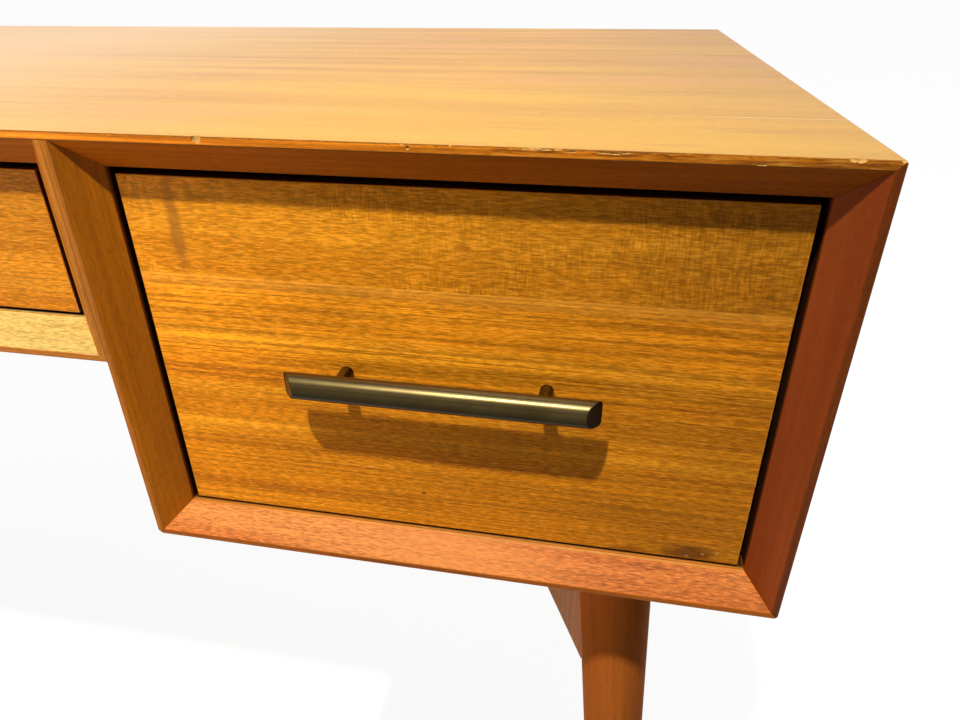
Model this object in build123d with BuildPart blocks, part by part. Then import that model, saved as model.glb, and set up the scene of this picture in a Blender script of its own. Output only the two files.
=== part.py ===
from build123d import *
import os
from math import cos, radians, sin, tan

# Sewing desk: two pedestals with deep drawers, a shallow drawer between them, on splayed round legs.
# Millimetres. +X is to the sitter's right, +Y goes to the back, +Z is up.
# The origin is on the floor, under the middle of the desk with its pulls.

# Case
case_width = 1320.0
case_depth = 610.0
desk_height = 762.0
pedestal_width = 333.0
pedestal_height = 221.0
centre_height = 110.0
board = 17.0
front_edge = 3.5
bevel_depth = 13.5
arris = 0.8
back_thickness = 6.0
back_inset = 4.0

# Drawer fronts and boxes
front_thickness = 18.0
front_setback = 0.7
reveal_side = 3.2
reveal_top = 3.2
reveal_bottom = 1.8
box_wall = 12.0
box_rise = 12.0
box_headroom = 16.0
back_room = 59.8
floor_thickness = 6.0
floor_rise = 8.0
groove_depth = 5.0
groove_clearance = 0.5
tail_pitch = 26.0
tail_slope = 9.0
pin_width = 6.0

# Ball slides
rail_steel = 1.2
rail_height = 35.0
rail_lip = 1.6
rail_gap = 1.3
rail_setback = 4.0
ball_diameter = 4.2
ball_clearance = 0.3
balls_per_row = 4
cage_strip = 0.8
cage_gap = 0.5
cage_length = 140.0

# Pulls
pull_spacing = 96.0
pull_length = 147.0
pull_height = 13.2
pull_depth = 8.0
pull_standoff = 14.0
pull_end_cut = 6.5
pull_arris = 0.5
post_diameter = 6.5
screw_diameter = 4.0
screw_clearance = 0.6
screw_grip = 9.0
screw_head_diameter = 8.0
screw_head_height = 2.6

# Legs
leg_top_diameter = 47.0
leg_foot_diameter = 31.0
leg_inset_side = 79.0
leg_inset_end = 68.0
leg_splay = 4.2
foot_bevel = 1.5
knee_width = 39.5
knee_drop = 127.0
knee_thickness = 14.0
leg_rail_thickness = 24.0
leg_rail_height = 58.0
glide_diameter = 20.0
glide_height = 4.0
bolt_diameter = 6.0
bolt_clearance = 0.6
bolt_head_diameter = 10.0
bolt_head_height = 6.0
bolt_recess = 30.0
bolt_grip = 11.0
bolt_end_distance = 80.0
hex_key = 5.0
hex_key_depth = 3.0

# Places worked out from the sizes
pull_reach = pull_standoff + pull_depth - bevel_depth - front_setback
y_front = (pull_reach - case_depth) / 2
y_back = y_front + case_depth
y_drawer = y_front + bevel_depth + front_setback
y_box = y_drawer + front_thickness
y_back_board = y_back - back_inset - back_thickness
box_length = y_back_board - back_room - y_box
x_side = case_width / 2
x_inner = x_side - pedestal_width
z_soffit = desk_height - board
z_pedestal = desk_height - pedestal_height
z_centre = desk_height - centre_height
bevel_width = board - front_edge

# A ball is drawn light, as a cube whose edges are cut back until it has eight equal flats round it
ball_flat = ball_diameter * (1 - tan(radians(45 / 2))) / 2

# A slide's width from the case wall to the drawer box, and the stations across it
ball_space = ball_diameter + 2 * ball_clearance
cage_start = rail_steel + cage_gap
inner_lip_start = cage_start + cage_strip + cage_gap
ball_centre = inner_lip_start + rail_steel + ball_space / 2
outer_lip_end = inner_lip_start + 2 * rail_steel + ball_space
slide_width = outer_lip_end + rail_gap + rail_steel
rail_length = box_length - 2 * rail_setback
y_rail_end = y_box + box_length - rail_setback

# Leg lines: the axis leans outwards on its way down
splay_run = tan(radians(leg_splay))
x_leg = x_side - leg_inset_side
leg_ends = {"front": y_front + leg_inset_end, "back": y_back - leg_inset_end}
leg_length = (z_pedestal - glide_height) / cos(radians(leg_splay))
x_leg_rail = x_leg + splay_run * leg_rail_height / 2
bolt_ys = (
    leg_ends["front"] + bolt_end_distance,
    leg_ends["back"] - bolt_end_distance,
)
hands = {"right": 1, "left": -1}

os.makedirs("parts", exist_ok=True)


def front_view(y):
    """Plane seen from the front at depth y. What is extruded from it runs forwards."""
    return Plane.XZ.offset(-y)


def side_view(x):
    """Plane seen from the right at x. What is extruded from it runs to the right."""
    return Plane.YZ.offset(x)


def save(piece, name):
    """Label a finished piece and write it as its own file."""
    piece.part.label = name
    export_step(piece.part, f"parts/{name}.step")


# Case boards


def corner_round(x, z, hand, rise):
    """What is planed off the long outer corner where two mitred boards meet."""
    with BuildPart() as waste:
        with BuildSketch(front_view(y_back)):
            with Locations((x - hand * arris / 2, z - rise * arris / 2)):
                Rectangle(arris, arris)
            with Locations((x - hand * arris, z - rise * arris)):
                Circle(arris, mode=Mode.SUBTRACT)
        extrude(amount=case_depth)
    return waste.part


def case_board(outline, inner_x, inner_z, waste=(), outer_point=None):
    """A board drawn as seen from the front, run the full depth, its inner front edge bevelled.

    inner_x and inner_z give a point on that edge, waste the volumes cut away after it is bevelled,
    and outer_point a point on the outer front edge that is rounded over.
    """
    with BuildPart() as piece:
        with BuildSketch(front_view(y_back)):
            Polygon(*outline)
        extrude(amount=case_depth)
        front = piece.faces().sort_by(Axis.Y)[0]
        inner_edge = front.edges().sort_by_distance((inner_x, y_front, inner_z))[0]
        chamfer(inner_edge, bevel_width, bevel_depth, reference=front)
        if outer_point:
            front = piece.faces().sort_by(Axis.Y)[0]
            fillet(front.edges().sort_by_distance(outer_point)[0], arris)
        for volume in waste:
            add(volume, mode=Mode.SUBTRACT)
    return piece


top_rounds = [corner_round(hand * x_side, desk_height, hand, 1) for hand in hands.values()]
top = case_board(
    [
        (-x_side, desk_height),
        (x_side, desk_height),
        (x_side - board, z_soffit),
        (board - x_side, z_soffit),
    ],
    0,
    z_soffit,
    top_rounds,
    (0, y_front, desk_height),
)
save(top, "top")


def pedestal_boards(name, hand):
    """Outer side, bottom and inner side of one pedestal, mitred together like a picture frame."""
    out, inn = hand * x_side, hand * x_inner
    out_face, inn_face = hand * (x_side - board), hand * (x_inner + board)
    z_floor = z_pedestal + board
    z_middle = (z_soffit + z_floor) / 2
    x_middle = (out + inn) / 2
    top_round = corner_round(out, desk_height, hand, 1)
    low_round = corner_round(out, z_pedestal, hand, -1)
    low_inner_round = corner_round(inn, z_pedestal, -hand, -1)

    side = case_board(
        [(out, desk_height), (out, z_pedestal), (out_face, z_floor), (out_face, z_soffit)],
        out_face,
        z_middle,
        [top_round, low_round],
        (out, y_front, z_middle),
    )
    save(side, f"{name}_side")

    inner_side = case_board(
        [
            (inn, desk_height - front_edge),
            (inn, z_pedestal),
            (inn_face, z_floor),
            (inn_face, desk_height - front_edge),
        ],
        inn_face,
        z_middle,
        [top.part, low_inner_round],
    )
    save(inner_side, f"{name}_inner_side")

    bottom = case_board(
        [(out, z_pedestal), (inn, z_pedestal), (inn_face, z_floor), (out_face, z_floor)],
        x_middle,
        z_floor,
        [low_round, low_inner_round],
        (x_middle, y_front, z_pedestal),
    )
    with bottom:
        underside = [Plane((hand * x_leg_rail, y, z_pedestal), z_dir=(0, 0, -1)) for y in bolt_ys]
        with Locations(*underside):
            Hole(bolt_diameter / 2, depth=bolt_grip)
    save(bottom, f"{name}_bottom")

    cheek_face = hand * (x_inner - board)
    cheek = case_board(
        [
            (inn, desk_height - front_edge),
            (inn, z_centre),
            (cheek_face, z_centre + board),
            (cheek_face, desk_height - front_edge),
        ],
        cheek_face,
        (z_soffit + z_centre + board) / 2,
        [top.part],
    )
    save(cheek, f"centre_{name}_cheek")


for name, hand in hands.items():
    pedestal_boards(name, hand)

centre_bottom = case_board(
    [
        (-x_inner, z_centre),
        (x_inner, z_centre),
        (x_inner - board, z_centre + board),
        (board - x_inner, z_centre + board),
    ],
    0,
    z_centre + board,
    (),
    (0, y_front, z_centre),
)
save(centre_bottom, "centre_bottom")


# Drawer cells: the clear opening of each, left and right wall and floor
cells = {
    "right": (x_inner + board, x_side - board, z_pedestal + board),
    "left": (board - x_side, -x_inner - board, z_pedestal + board),
    "centre": (board - x_inner, x_inner - board, z_centre + board),
}


def back_board(name, x_left, x_right, z_floor):
    """Thin board that closes a drawer cell at the back."""
    with BuildPart() as piece:
        with BuildSketch(front_view(y_back - back_inset)):
            with Locations(((x_left + x_right) / 2, (z_floor + z_soffit) / 2)):
                Rectangle(x_right - x_left, z_soffit - z_floor)
        extrude(amount=back_thickness)
    save(piece, f"{name}_back")


# Drawers


def drawer_front(name, x_left, x_right, z_floor):
    """Inset front with an even reveal, its face edges eased, drilled for the pull."""
    z_low, z_high = z_floor + reveal_bottom, z_soffit - reveal_top
    x_middle, z_middle = (x_left + x_right) / 2, (z_low + z_high) / 2
    with BuildPart() as piece:
        with BuildSketch(front_view(y_box)):
            with Locations((x_middle, z_middle)):
                Rectangle(x_right - x_left - 2 * reveal_side, z_high - z_low)
        extrude(amount=front_thickness)
        fillet(piece.faces().sort_by(Axis.Y)[0].edges(), arris)
        with Locations(Plane((x_middle, y_drawer, z_middle), x_dir=(1, 0, 0), z_dir=(0, -1, 0))):
            with GridLocations(pull_spacing, 0, 2, 1):
                Hole((screw_diameter + screw_clearance) / 2)
    save(piece, f"{name}_drawer_front")
    return x_middle, z_middle


def drawer_box(name, x_left, x_right, z_floor, z_pull):
    """Box with through dovetails at its four corners and a floor panel let into grooves."""
    x_low, x_high = x_left + slide_width, x_right - slide_width
    z_low, z_high = z_floor + box_rise, z_soffit - box_headroom
    x_middle, z_middle = (x_low + x_high) / 2, (z_low + z_high) / 2
    width, height = x_high - x_low, z_high - z_low
    y_end = y_box + box_length
    y_middle = (y_box + y_end) / 2
    tails = max(2, round(height / tail_pitch))
    pitch = height / tails
    tail_wide = pitch - pin_width
    tail_narrow = tail_wide - 2 * box_wall * tan(radians(tail_slope))

    def floor_panel(entry):
        """Floor panel that enters the four walls by the given depth."""
        with BuildPart() as panel:
            with BuildSketch(Plane.XY.offset(z_low + floor_rise)):
                with Locations((x_middle, y_middle)):
                    Rectangle(width - 2 * box_wall + 2 * entry, box_length - 2 * box_wall + 2 * entry)
            extrude(amount=floor_thickness)
        return panel

    floor = floor_panel(groove_depth - groove_clearance)
    groove = floor_panel(groove_depth).part
    save(floor, f"{name}_drawer_floor")

    walls = []
    for side, x_wall in (("left", x_low), ("right", x_high - box_wall)):
        with BuildPart() as wall:
            with BuildSketch(side_view(x_wall)):
                with Locations((y_middle, z_middle)):
                    Rectangle(box_length - 2 * box_wall, height)
                for y_tail, inward in ((y_box, 1), (y_end, -1)):
                    for i in range(tails):
                        z = z_low + (i + 0.5) * pitch
                        Polygon(
                            (y_tail, z - tail_wide / 2),
                            (y_tail, z + tail_wide / 2),
                            (y_tail + inward * box_wall, z + tail_narrow / 2),
                            (y_tail + inward * box_wall, z - tail_narrow / 2),
                        )
            extrude(amount=box_wall)
            add(groove, mode=Mode.SUBTRACT)
        save(wall, f"{name}_drawer_{side}_wall")
        walls.append(wall.part)

    for end, y_wall in (("box_front", y_box), ("box_back", y_end - box_wall)):
        with BuildPart() as wall:
            with BuildSketch(front_view(y_wall + box_wall)):
                with Locations((x_middle, z_middle)):
                    Rectangle(width, height)
            extrude(amount=box_wall)
            add(walls, mode=Mode.SUBTRACT)
            add(groove, mode=Mode.SUBTRACT)
            if end == "box_front":
                with Locations(Plane((x_middle, y_box, z_pull), x_dir=(1, 0, 0), z_dir=(0, -1, 0))):
                    with GridLocations(pull_spacing, 0, 2, 1):
                        Hole((screw_diameter + screw_clearance) / 2)
        save(wall, f"{name}_drawer_{end}")
    return z_middle


def pull(name, x_middle, z_middle):
    """D section bar with raked ends on two round posts, held by screws from inside the box."""
    y_bar = y_drawer - pull_standoff
    y_face = y_bar - pull_depth
    half_height, half_length = pull_height / 2, pull_length / 2
    y_round = y_face + half_height
    z_low, z_high = z_middle - half_height, z_middle + half_height
    with BuildPart() as bar:
        with BuildSketch(side_view(x_middle)):
            with BuildLine():
                Line((y_bar, z_low), (y_round, z_low))
                ThreePointArc((y_round, z_low), (y_face, z_middle), (y_round, z_high))
                Line((y_round, z_high), (y_bar, z_high))
                Line((y_bar, z_high), (y_bar, z_low))
            make_face()
        extrude(amount=half_length, both=True)
        with BuildSketch(Plane.XY.offset(z_middle)):
            Polygon(
                (x_middle - half_length, y_bar),
                (x_middle + half_length, y_bar),
                (x_middle + half_length - pull_end_cut, y_face),
                (x_middle - half_length + pull_end_cut, y_face),
            )
        extrude(amount=half_height, both=True, mode=Mode.INTERSECT)
        chamfer(bar.faces().sort_by(Axis.Y)[-1].edges().filter_by(Axis.X), pull_arris)
    save(bar, f"{name}_pull_bar")

    bar_back = Plane((x_middle, y_bar, z_middle), x_dir=(1, 0, 0), z_dir=(0, 1, 0))
    with BuildPart() as posts:
        with BuildSketch(bar_back):
            with GridLocations(pull_spacing, 0, 2, 1):
                Circle(post_diameter / 2)
        extrude(amount=pull_standoff)
        with BuildSketch(bar_back.offset(pull_standoff)):
            with GridLocations(pull_spacing, 0, 2, 1):
                Circle(screw_diameter / 2)
        extrude(amount=-screw_grip, mode=Mode.SUBTRACT)
    save(posts, f"{name}_pull_posts")

    screw_tip = bar_back.offset(pull_standoff - screw_grip)
    screw_length = screw_grip + front_thickness + box_wall
    with BuildPart() as screws:
        with BuildSketch(screw_tip):
            with GridLocations(pull_spacing, 0, 2, 1):
                Circle(screw_diameter / 2)
        extrude(amount=screw_length)
        with BuildSketch(screw_tip.offset(screw_length)):
            with GridLocations(pull_spacing, 0, 2, 1):
                Circle(screw_head_diameter / 2)
        extrude(amount=screw_head_height)
    save(screws, f"{name}_pull_screws")


with BuildPart() as ball:
    Box(ball_diameter, ball_diameter, ball_diameter)
    chamfer(ball.edges(), ball_flat)


def slide_pair(name, x_left, x_right, z_middle):
    """Case rails, ball cages and drawer rails of one drawer, a left one and its mirror image."""
    mirror_plane = Plane.YZ.offset((x_left + x_right) / 2)
    half = rail_height / 2
    inner_half = half - rail_steel - ball_space
    ball_height = half - rail_steel - ball_space / 2
    lip = rail_steel + rail_lip

    def channel(points):
        """A pair of rails with the given upper half section, from the case wall, made symmetrical."""
        with BuildPart() as rails:
            with BuildSketch(front_view(y_rail_end)):
                upper = [(x_left + u, z_middle + w) for u, w in points]
                lower = [(x_left + u, z_middle - w) for u, w in reversed(points)]
                Polygon(*upper, *lower)
            extrude(amount=rail_length)
            mirror(about=mirror_plane)
        return rails

    case_rails = channel([
        (rail_steel, half - rail_steel),
        (outer_lip_end - rail_steel, half - rail_steel),
        (outer_lip_end - rail_steel, half - lip),
        (outer_lip_end, half - lip),
        (outer_lip_end, half),
        (0, half),
    ])
    save(case_rails, f"{name}_case_rails")

    drawer_rails = channel([
        (slide_width - rail_steel, inner_half - rail_steel),
        (inner_lip_start, inner_half - rail_steel),
        (inner_lip_start, inner_half + rail_lip),
        (inner_lip_start + rail_steel, inner_half + rail_lip),
        (inner_lip_start + rail_steel, inner_half),
        (slide_width, inner_half),
    ])
    save(drawer_rails, f"{name}_drawer_rails")

    y_cage_end = y_rail_end - (rail_length - cage_length) / 2
    ball_pitch = cage_length / balls_per_row
    strip_half = cage_strip / 2
    with BuildPart() as cages:
        with BuildSketch(front_view(y_cage_end)):
            with Locations((x_left + cage_start + strip_half, z_middle)):
                Rectangle(cage_strip, 2 * ball_height + cage_strip)
            with Locations((x_left + (cage_start + ball_centre) / 2, z_middle)):
                with GridLocations(0, 2 * ball_height, 1, 2):
                    Rectangle(ball_centre - cage_start, cage_strip)
        extrude(amount=cage_length)
        for i in range(balls_per_row):
            y_ball = y_cage_end - (i + 0.5) * ball_pitch
            with Locations(
                (x_left + ball_centre, y_ball, z_middle - ball_height),
                (x_left + ball_centre, y_ball, z_middle + ball_height),
            ):
                add(ball.part)
        mirror(about=mirror_plane)
    save(cages, f"{name}_ball_cages")


for name, (x_left, x_right, z_floor) in cells.items():
    back_board(name, x_left, x_right, z_floor)
    x_pull, z_pull = drawer_front(name, x_left, x_right, z_floor)
    z_box = drawer_box(name, x_left, x_right, z_floor, z_pull)
    pull(name, x_pull, z_pull)
    slide_pair(name, x_left, x_right, z_box)


# Legs and what ties them to the case


def leg_radius(distance):
    """Radius of a leg at a distance down its axis from the underside of the pedestal."""
    taper = (leg_top_diameter - leg_foot_diameter) / leg_length
    return (leg_top_diameter - taper * distance) / 2


def leg(hand, y_leg):
    """Round tapered leg, leaning outwards, cut level under the case and at its foot."""
    lean = radians(leg_splay)
    overrun = leg_top_diameter
    axis = Plane((hand * x_leg, y_leg, z_pedestal), x_dir=(0, 1, 0), z_dir=(hand * sin(lean), 0, -cos(lean)))
    with BuildPart(axis) as piece:
        with Locations((0, 0, -overrun)):
            Cone(
                leg_radius(-overrun),
                leg_radius(leg_length + overrun),
                leg_length + 2 * overrun,
                align=(Align.CENTER, Align.CENTER, Align.MIN),
            )
        split(bisect_by=Plane.XY.offset(z_pedestal), keep=Keep.BOTTOM)
        split(bisect_by=Plane.XY.offset(glide_height), keep=Keep.TOP)
        chamfer(piece.faces().sort_by(Axis.Z)[0].edges(), foot_bevel)
    return piece


def knee_brackets(hand, leg_solids):
    """Wedges between the pedestal's underside and the inner sides of its legs, coped to the legs."""
    z_tip = z_pedestal - knee_drop
    x_tip = x_leg + splay_run * knee_drop
    with BuildPart() as pieces:
        for y_leg in leg_ends.values():
            with BuildSketch(front_view(y_leg + knee_thickness / 2)):
                Polygon(
                    (hand * x_leg, z_pedestal),
                    (hand * (x_leg - leg_radius(0) - knee_width), z_pedestal),
                    (hand * (x_tip - leg_radius(knee_drop)), z_tip),
                    (hand * x_tip, z_tip),
                )
            extrude(amount=knee_thickness)
        add(leg_solids, mode=Mode.SUBTRACT)
    return pieces


def leg_rail(hand, leg_solids):
    """Rail from the front leg to the back leg, coped to both, counterbored for the bolts."""
    z_low = z_pedestal - leg_rail_height
    with BuildPart() as piece:
        with BuildSketch(front_view(leg_ends["back"])):
            with Locations((hand * x_leg_rail, z_pedestal - leg_rail_height / 2)):
                Rectangle(leg_rail_thickness, leg_rail_height)
        extrude(amount=leg_ends["back"] - leg_ends["front"])
        add(leg_solids, mode=Mode.SUBTRACT)
        with Locations(*[Plane((hand * x_leg_rail, y, z_low), z_dir=(0, 0, -1)) for y in bolt_ys]):
            CounterBoreHole(
                (bolt_diameter + bolt_clearance) / 2,
                (bolt_head_diameter + bolt_clearance) / 2,
                bolt_recess,
            )
    return piece


for name, hand in hands.items():
    legs = []
    for end, y_leg in leg_ends.items():
        piece = leg(hand, y_leg)
        save(piece, f"{end}_{name}_leg")
        legs.append(piece.part)
    save(knee_brackets(hand, legs), f"{name}_knee_brackets")
    save(leg_rail(hand, legs), f"{name}_leg_rail")

x_foot = x_leg + splay_run * (z_pedestal - glide_height)
foot_points = [(hand * x_foot, y) for hand in hands.values() for y in leg_ends.values()]
with BuildPart() as foot_glides:
    with BuildSketch():
        with Locations(*foot_points):
            Circle(glide_diameter / 2)
    extrude(amount=glide_height)
    chamfer(foot_glides.faces().filter_by(Axis.Z).group_by(Axis.Z)[0].edges(), arris)
save(foot_glides, "foot_glides")

z_bolt_seat = z_pedestal - leg_rail_height + bolt_recess
bolt_points = [(hand * x_leg_rail, y) for hand in hands.values() for y in bolt_ys]
with BuildPart() as leg_bolts:
    with BuildSketch(Plane.XY.offset(z_bolt_seat)):
        with Locations(*bolt_points):
            Circle(bolt_diameter / 2)
    extrude(amount=z_pedestal + bolt_grip - z_bolt_seat)
    with BuildSketch(Plane.XY.offset(z_bolt_seat - bolt_head_height)):
        with Locations(*bolt_points):
            Circle(bolt_head_diameter / 2)
    extrude(amount=bolt_head_height)
    with BuildSketch(Plane.XY.offset(z_bolt_seat - bolt_head_height)):
        with Locations(*bolt_points):
            RegularPolygon(hex_key / 2, 6, major_radius=False)
    extrude(amount=hex_key_depth, mode=Mode.SUBTRACT)
save(leg_bolts, "leg_bolts")
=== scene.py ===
import bpy
from math import radians
from random import Random
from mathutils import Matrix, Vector


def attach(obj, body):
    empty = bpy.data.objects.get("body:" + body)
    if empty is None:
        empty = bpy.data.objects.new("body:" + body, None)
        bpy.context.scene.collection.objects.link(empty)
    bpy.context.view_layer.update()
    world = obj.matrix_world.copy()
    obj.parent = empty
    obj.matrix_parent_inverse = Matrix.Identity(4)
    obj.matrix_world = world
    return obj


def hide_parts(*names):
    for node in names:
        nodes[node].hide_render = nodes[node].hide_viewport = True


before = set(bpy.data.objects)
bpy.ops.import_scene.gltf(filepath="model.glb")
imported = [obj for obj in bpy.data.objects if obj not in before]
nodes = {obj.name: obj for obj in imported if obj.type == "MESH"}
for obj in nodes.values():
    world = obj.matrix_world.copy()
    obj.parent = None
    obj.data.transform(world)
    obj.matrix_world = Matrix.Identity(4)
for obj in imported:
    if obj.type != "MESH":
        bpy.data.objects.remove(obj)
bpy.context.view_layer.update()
bpy.ops.object.select_all(action="DESELECT")

MM = 0.001
DRAWERS = ("right", "left", "centre")
HANDS = {"right": 1, "left": -1}

# Sizes of the case, in metres, as the CAD part has them
X_SIDE = 0.660
X_INNER = 0.327
Y_FRONT = -0.3011
Y_BACK = 0.3089
HEIGHT = 0.762
BOARD = 0.017
FLAT_EDGE = 0.0035
BEVEL = 0.0135
Z_SOFFIT = HEIGHT - BOARD
Z_PEDESTAL = 0.541
Z_CENTRE = 0.652
Z_BEVEL = HEIGHT - FLAT_EDGE
LEG_LEAN = 4.2

# Drawer fronts, and the heights above the floor where one leaf of their veneer meets the next
Y_DRAWER = -0.2869
FRONT_THICKNESS = 0.018
REVEAL = 0.0032
REVEAL_LOW = 0.0018
DEEP_SEAMS = (0.6385, 0.696)
SHALLOW_SEAMS = (0.7015,)

# Pulls
PULL_LENGTH = 0.147
PULL_HEIGHT = 0.0132
PULL_DEPTH = 0.008
PULL_STANDOFF = 0.014
PULL_END_CUT = 0.0065
PULL_FRONT_ROUND = 0.92 * (PULL_HEIGHT / 2)
PULL_BACK_ROUND = 0.0017
PULL_ARRIS = 0.5 * MM

# How far edges are rounded: inside a joint, where two faces turn only slightly, and in the open
JOINT_EASE = 0.16 * MM
SLIGHT_EASE = 0.32 * MM
BOARD_ROUND = 1.0 * MM
TOP_ROUND = 0.45 * MM
FRONT_ROUND = 0.45 * MM

# Corners of the case that knocks have taken off
KNOCK_TOP = 0.9 * MM
KNOCK_OUTER = 1.5 * MM
KNOCK_INNER = 1.9 * MM

# Planes that several boards share, each a point and the direction of its waste side.
# Parting is where an inner side and a cheek are glued face to face.
PARTING = ((X_INNER, 0, 0), (1, 0, 0))
SOFFIT = ((0, 0, Z_SOFFIT), (0, 0, 1))
TOP_BEVEL = ((0, Y_FRONT, Z_BEVEL), (0, -1, -1))
TOP_MITRES = [((hand * X_SIDE, 0, HEIGHT), (hand, 0, -1)) for hand in HANDS.values()]
TOP_KNOCKS = [((hand * (X_SIDE - KNOCK_TOP), 0, HEIGHT), (hand, 0, 1)) for hand in HANDS.values()]

# Viewpoint of the photograph
CAMERA_PLACE = (0.563993, -0.558692, 0.817898)
CAMERA_TURN = (60.9035, 0.4273, 10.8965)
CAMERA_LENS = 26.112
CAMERA_SENSOR = 36.0

# Light: a small ceiling lamp in front of the desk, a soft low light from the left, and the pale room,
# which is brightest high up behind the desk
LAMP_PLACE = (0.33, -1.107, 2.35)
LAMP_POWER = 182.0
LAMP_RADIUS = 0.035
LAMP_COLOUR = (1.0, 0.97, 0.92)
FILL_PLACE = (0.05, -0.58, 0.60)
FILL_AIM = (0.45, -0.28, 0.66)
FILL_POWER = 0.9
FILL_SIZE = 0.3
FILL_COLOUR = (1.0, 0.8, 0.6)
ROOM_BRIGHT_SIDE = (0, 0.75, 0.66)
ROOM_BRIGHT = 0.72
ROOM_DIM = 0.035
ROOM_LEFT = 0.14

# Floor: half its width, how much of the shadow it keeps, its glow to the camera, and its tone to the camera
# and to the desk
FLOOR_HALF = 40.0
SHADOW_SHARE = 0.3
FLOOR_GLOW = 1.25
FLOOR_SEEN = 0.85
FLOOR_BOUNCE = 0.2

# Wood tones: dark, middle and light of each
FRONT_TONES = ((0.47, 0.140, 0.003), (0.65, 0.218, 0.005), (0.80, 0.305, 0.012))
TOP_TONES = ((0.58, 0.255, 0.024), (0.64, 0.300, 0.030), (0.69, 0.345, 0.040))
EDGE_TONES = ((0.58, 0.160, 0.006), (0.70, 0.210, 0.010), (0.80, 0.275, 0.020))
ARRIS_TONES = ((0.16, 0.048, 0.004), (0.30, 0.105, 0.010), (0.50, 0.205, 0.026))
UNDER_TONES = ((0.46, 0.112, 0.003), (0.58, 0.150, 0.004), (0.66, 0.190, 0.008))
SIDE_TONES = ((0.175, 0.029, 0.003), (0.21, 0.038, 0.004), (0.25, 0.050, 0.006))
SIDE_OUTER_TONES = ((0.34, 0.086, 0.006), (0.43, 0.120, 0.009), (0.52, 0.160, 0.014))
SIDE_EDGE_TONES = ((0.120, 0.024, 0.002), (0.155, 0.032, 0.003), (0.190, 0.042, 0.004))
BOTTOM_TONES = ((0.42, 0.094, 0.012), (0.53, 0.140, 0.025), (0.69, 0.245, 0.057))
BOTTOM_EDGE_TONES = ((0.30, 0.070, 0.004), (0.40, 0.105, 0.008), (0.50, 0.150, 0.016))
BOTTOM_LIP_TONES = ((0.42, 0.140, 0.012), (0.56, 0.210, 0.028), (0.72, 0.320, 0.075))
DIVIDER_TONES = ((0.38, 0.112, 0.003), (0.51, 0.160, 0.004), (0.62, 0.215, 0.008))
STRIP_TONES = ((0.36, 0.108, 0.008), (0.48, 0.158, 0.014), (0.62, 0.235, 0.034))
DIVIDER_LINE_TONES = ((0.24, 0.068, 0.003), (0.32, 0.098, 0.005), (0.42, 0.140, 0.010))
RAIL_TONES = ((0.54, 0.315, 0.062), (0.63, 0.420, 0.115), (0.71, 0.510, 0.175))
RAIL_EDGE_TONES = ((0.36, 0.120, 0.014), (0.48, 0.165, 0.022), (0.58, 0.220, 0.034))
LEG_TONES = ((0.45, 0.110, 0.013), (0.545, 0.145, 0.020), (0.64, 0.187, 0.030))
# The knee brackets' tones are painted light: paler than their wood, where they lie in the case's shadow
KNEE_PAINTED_LIGHT_TONES = ((0.74, 0.270, 0.085), (0.85, 0.345, 0.125), (0.92, 0.425, 0.185))
BOX_TONES = ((0.56, 0.400, 0.225), (0.64, 0.475, 0.280), (0.71, 0.545, 0.340))
PLY_TONES = ((0.48, 0.325, 0.170), (0.56, 0.395, 0.215), (0.63, 0.460, 0.265))
BACK_TONES = ((0.40, 0.165, 0.040), (0.49, 0.215, 0.058), (0.58, 0.275, 0.085))
CHIP_TONES = ((0.40, 0.18, 0.04), (0.60, 0.33, 0.09), (0.66, 0.42, 0.15))
# Nicks painted dark as the shade inside them
NICK_SHADE_TONES = ((0.18, 0.05, 0.003), (0.40, 0.14, 0.01), (0.66, 0.32, 0.05))

# Single tones of wood
TOP_GOLD = (0.70, 0.37, 0.018)
TOP_PINK = (0.67, 0.29, 0.080)
# Painted sheen on the top's left part
TOP_PAINTED_SHEEN = (0.78, 0.53, 0.30)
TOP_DASH = (0.44, 0.19, 0.05)
TOP_SEAM = (0.86, 0.60, 0.30)
FRAYED_DARK = (0.15, 0.045, 0.004)
# Golden as a painted highlight on the frayed splinters of the top's front edge
FRAYED_GOLD_AND_HIGHLIGHT = (0.72, 0.34, 0.05)
# The next two are painted shade: the inside of the case behind the drawer fronts, and a drawer front's other
# faces
UNLIT = (0.045, 0.014, 0.004)
FRONT_SIDES_PAINTED_SHADE = (0.11, 0.036, 0.008)
DARK_THREAD = (0.32, 0.085, 0.003)
RAW_WOOD = CHIP_TONES[1]
CREAM = (0.90, 0.43, 0.06)
# Pale line on rounded edges: partly worn finish, partly a painted highlight
PALE_WEAR_AND_HIGHLIGHT = (0.66, 0.40, 0.17)

# Metal and plastic: dark and light of each
BRONZE_TONES = ((0.096, 0.068, 0.024), (0.127, 0.091, 0.033))
# Painted reflection on the pulls' upper faces
BRONZE_PAINTED_REFLECTION = (0.17, 0.145, 0.07)
ZINC_TONES = ((0.50, 0.51, 0.53), (0.66, 0.67, 0.68))
NYLON_TONES = ((0.022, 0.019, 0.017), (0.042, 0.037, 0.033))

# Places of single features on the boards, with the reach and strength of the painted sheen that pales the
# bottom boards
TOP_SEAM_Y = -0.2270
BOTTOM_SHEEN_X = 0.50
SHEEN_REACH = 0.085
SHEEN_STRENGTH = 0.38
BOTTOM_LIP_Z = Z_PEDESTAL + BOARD - 0.3 * MM

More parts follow.
